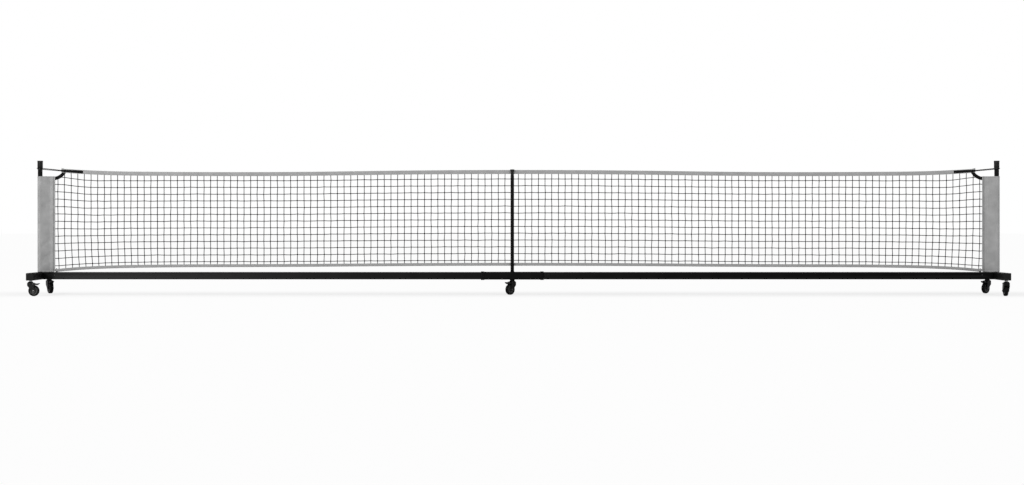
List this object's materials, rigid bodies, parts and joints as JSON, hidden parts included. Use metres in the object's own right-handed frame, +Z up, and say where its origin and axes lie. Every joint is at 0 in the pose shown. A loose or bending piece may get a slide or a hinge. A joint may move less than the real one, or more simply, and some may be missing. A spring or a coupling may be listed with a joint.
{
  "type": "portable court net",
  "caption": "Portable court net on a long steel beam with cross feet, end posts in fabric sleeves, a hooked centre post and braked swivel casters.",
  "frame": {"origin": "on the floor, under the middle of the frame between the two end posts", "axes": "+X along the net to the picture's right, -Y toward the picture's camera, +Z up"},
  "size_m": [6.763, 0.66, 0.94],
  "materials": {
    "black_powder_coat": "satin",
    "black_caster_steel": "satin",
    "dark_grey_plastic": "matte",
    "black_plastic": "satin",
    "tyre": "matte",
    "zinc_steel": "satin",
    "grey_tape": "matte",
    "grey_fabric": "matte",
    "black_webbing": "matte",
    "mesh_twine": "matte",
    "black_cord": "matte"
  },
  "bodies": {
    "frame": {"beam_left": "black_powder_coat", "beam_right": "black_powder_coat", "centre_coupler": "black_powder_coat", "coupler_bolts": "zinc_steel", "foot_left": "black_powder_coat", "foot_right": "black_powder_coat", "foot_end_caps": "dark_grey_plastic", "caster_stems": "zinc_steel", "corner_pegs": "zinc_steel", "post_left": "black_powder_coat", "post_right": "black_powder_coat", "post_caps": "black_plastic", "tie_cord_left": "black_cord", "tie_cord_right": "black_cord", "top_tape": "grey_tape", "bottom_tape": "grey_tape", "tape_webbing": "black_webbing", "neck_strap_left": "black_webbing", "neck_strap_right": "black_webbing", "net_mesh": "mesh_twine", "post_sleeve_left": "grey_fabric", "post_sleeve_right": "grey_fabric", "centre_post": "black_powder_coat"},
    "centre_hook": {"centre_post_hook": "black_plastic"},
    "button_left": {"snap_button_left": "zinc_steel", "snap_spring_left": "zinc_steel"},
    "button_right": {"snap_button_right": "zinc_steel", "snap_spring_right": "zinc_steel"},
    "front_left_caster": {"front_left_fork": "black_caster_steel"},
    "front_left_wheel": {"front_left_wheel": "tyre"},
    "front_left_brake": {"front_left_brake_pedal": "black_plastic"},
    "rear_left_caster": {"rear_left_fork": "black_caster_steel"},
    "rear_left_wheel": {"rear_left_wheel": "tyre"},
    "rear_left_brake": {"rear_left_brake_pedal": "black_plastic"},
    "centre_caster": {"centre_fork": "black_caster_steel"},
    "centre_wheel": {"centre_wheel": "tyre"},
    "centre_brake": {"centre_brake_pedal": "black_plastic"},
    "rear_right_caster": {"rear_right_fork": "black_caster_steel"},
    "rear_right_wheel": {"rear_right_wheel": "tyre"},
    "rear_right_brake": {"rear_right_brake_pedal": "black_plastic"},
    "front_right_caster": {"front_right_fork": "black_caster_steel"},
    "front_right_wheel": {"front_right_wheel": "tyre"},
    "front_right_brake": {"front_right_brake_pedal": "black_plastic"}
  },
  "joints": [
    {"name": "centre_hook_slide", "type": "slide", "parent": "frame", "child": "centre_hook", "axis": [0, 0, 1], "range_m": [-0.02, 0]},
    {"name": "button_left_press", "type": "slide", "parent": "frame", "child": "button_left", "axis": [0, 1, 0], "range_m": [0, 0.0055], "stiffness_N_per_m": 1500, "springref_m": -0.002},
    {"name": "button_right_press", "type": "slide", "parent": "frame", "child": "button_right", "axis": [0, 1, 0], "range_m": [0, 0.0055], "stiffness_N_per_m": 1500, "springref_m": -0.002},
    {"name": "front_left_swivel", "type": "hinge", "parent": "frame", "child": "front_left_caster", "pos_m": [-3.356, -0.295, 0.1], "axis": [0, 0, 1], "continuous": true},
    {"name": "front_left_roll", "type": "hinge", "parent": "front_left_caster", "child": "front_left_wheel", "pos_m": [-3.334, -0.295, 0.0375], "axis": [0, 1, 0], "continuous": true},
    {"name": "front_left_brake_pedal", "type": "hinge", "parent": "front_left_caster", "child": "front_left_brake", "pos_m": [-3.336, -0.295, 0.086], "axis": [0, 1, 0], "range_deg": [0, 8]},
    {"name": "rear_left_swivel", "type": "hinge", "parent": "frame", "child": "rear_left_caster", "pos_m": [-3.356, 0.295, 0.1], "axis": [0, 0, 1], "continuous": true},
    {"name": "rear_left_roll", "type": "hinge", "parent": "rear_left_caster", "child": "rear_left_wheel", "pos_m": [-3.34434, 0.27634, 0.0375], "axis": [0.848, 0.5299, 0], "continuous": true},
    {"name": "rear_left_brake_pedal", "type": "hinge", "parent": "rear_left_caster", "child": "rear_left_brake", "pos_m": [-3.3454, 0.27804, 0.086], "axis": [0.848, 0.5299, 0], "range_deg": [0, 8]},
    {"name": "centre_swivel", "type": "hinge", "parent": "frame", "child": "centre_caster", "pos_m": [-0.043, 0, 0.1], "axis": [0, 0, 1], "continuous": true},
    {"name": "centre_roll", "type": "hinge", "parent": "centre_caster", "child": "centre_wheel", "pos_m": [-0.05856, -0.01556, 0.0375], "axis": [0.7071, -0.7071, 0], "continuous": true},
    {"name": "centre_brake_pedal", "type": "hinge", "parent": "centre_caster", "child": "centre_brake", "pos_m": [-0.05714, -0.01414, 0.086], "axis": [0.7071, -0.7071, 0], "range_deg": [0, 8]},
    {"name": "rear_right_swivel", "type": "hinge", "parent": "frame", "child": "rear_right_caster", "pos_m": [3.356, 0.295, 0.1], "axis": [0, 0, 1], "continuous": true},
    {"name": "rear_right_roll", "type": "hinge", "parent": "rear_right_caster", "child": "rear_right_wheel", "pos_m": [3.33991, 0.28, 0.0375], "axis": [0.682, -0.7314, 0], "continuous": true},
    {"name": "rear_right_brake_pedal", "type": "hinge", "parent": "rear_right_caster", "child": "rear_right_brake", "pos_m": [3.34137, 0.28136, 0.086], "axis": [0.682, -0.7314, 0], "range_deg": [0, 8]},
    {"name": "front_right_swivel", "type": "hinge", "parent": "frame", "child": "front_right_caster", "pos_m": [3.356, -0.295, 0.1], "axis": [0, 0, 1], "continuous": true},
    {"name": "front_right_roll", "type": "hinge", "parent": "front_right_caster", "child": "front_right_wheel", "pos_m": [3.356, -0.273, 0.0375], "axis": [-1, 0, 0], "continuous": true},
    {"name": "front_right_brake_pedal", "type": "hinge", "parent": "front_right_caster", "child": "front_right_brake", "pos_m": [3.356, -0.275, 0.086], "axis": [-1, 0, 0], "range_deg": [0, 8]}
  ]
}
